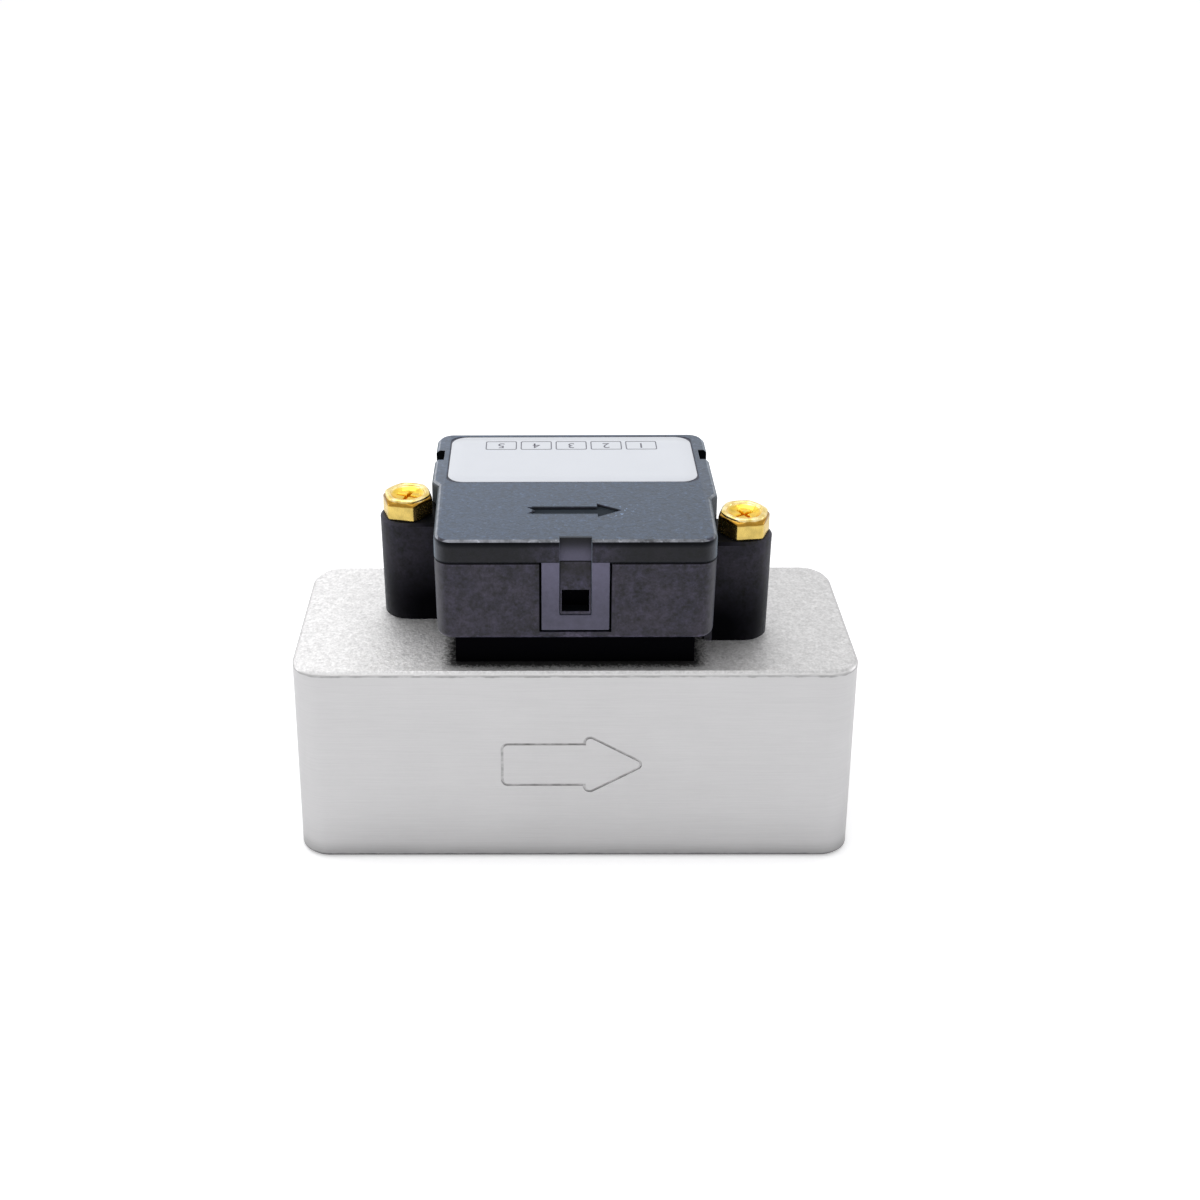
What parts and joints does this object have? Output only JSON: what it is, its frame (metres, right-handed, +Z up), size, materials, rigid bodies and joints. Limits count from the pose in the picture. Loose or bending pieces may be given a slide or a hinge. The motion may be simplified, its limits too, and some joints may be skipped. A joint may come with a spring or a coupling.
{
  "type": "gas mass flow sensor",
  "caption": "Bypass gas flow sensor: rectangular aluminium flow body with threaded gas ports, black snap-lid sensor housing screwed on top, flow arrows and a white label.",
  "frame": {"origin": "middle of the flow block's base face", "axes": "+X along the gas flow from inlet to outlet, +Z up from the base to the lid, -Y towards the snap latch, +Y towards the connector"},
  "size_m": [0.065, 0.0307, 0.041],
  "materials": {
    "aluminium_body": "bead-blasted top, fine brushed sides",
    "stainless_insert": "plain stainless steel",
    "seal_rubber": "matt black rubber",
    "black_housing": "fine spark-eroded moulded texture",
    "white_label": "smooth white film",
    "brass_screw": "bright turned brass",
    "board": "green solder mask",
    "chip_silicon": "polished silicon",
    "connector_plastic": "smooth black nylon",
    "pin_metal": "tin plated",
    "package_epoxy": "black epoxy with tinned ends",
    "capacitor_ceramic": "brown ceramic with tinned ends"
  },
  "bodies": {
    "root": {"flow_block": "aluminium_body", "laminar_element": "stainless_insert", "inlet_screen": "stainless_insert", "outlet_screen": "stainless_insert", "inlet_screen_ring": "stainless_insert", "outlet_screen_ring": "stainless_insert", "inlet_tap_seal": "seal_rubber", "outlet_tap_seal": "seal_rubber", "sensor_case": "black_housing", "lid": "black_housing", "label": "white_label", "left_screw": "brass_screw", "right_screw": "brass_screw", "channel_gasket": "seal_rubber", "circuit_board": "board", "sensor_chip": "chip_silicon", "board_screws": "stainless_insert", "connector_housing": "connector_plastic", "connector_pins": "pin_metal", "signal_processor": "package_epoxy", "voltage_regulator": "package_epoxy", "capacitors": "capacitor_ceramic", "resistors": "package_epoxy"}
  },
  "joints": []
}
